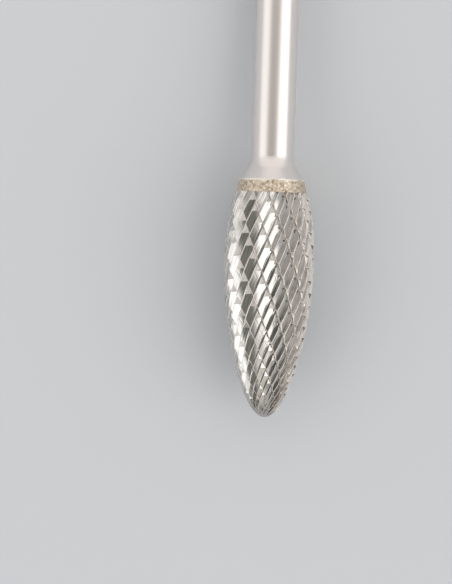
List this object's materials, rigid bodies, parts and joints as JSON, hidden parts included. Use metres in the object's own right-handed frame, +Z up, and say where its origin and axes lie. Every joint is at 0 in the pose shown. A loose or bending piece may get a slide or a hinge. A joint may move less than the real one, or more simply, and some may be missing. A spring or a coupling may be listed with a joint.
{
  "type": "carbide burr",
  "caption": "Flame shaped double-cut carbide burr with a brazed plain steel shank, for a die grinder or flexible shaft.",
  "frame": {"origin": "centre of the bottom of the bounding box, on the surface that the burr lies on", "axes": "+Z up; +Y from the head's tip towards the shank's end, which is a little lower than the head's axis; +X across"},
  "size_m": [0.0126, 0.077, 0.0129],
  "materials": {
    "carbide": "ground",
    "braze": "rough",
    "steel": "turned"
  },
  "bodies": {
    "root": {"carbide_head": "carbide", "braze_joint": "braze", "steel_shank": "steel"}
  },
  "joints": []
}
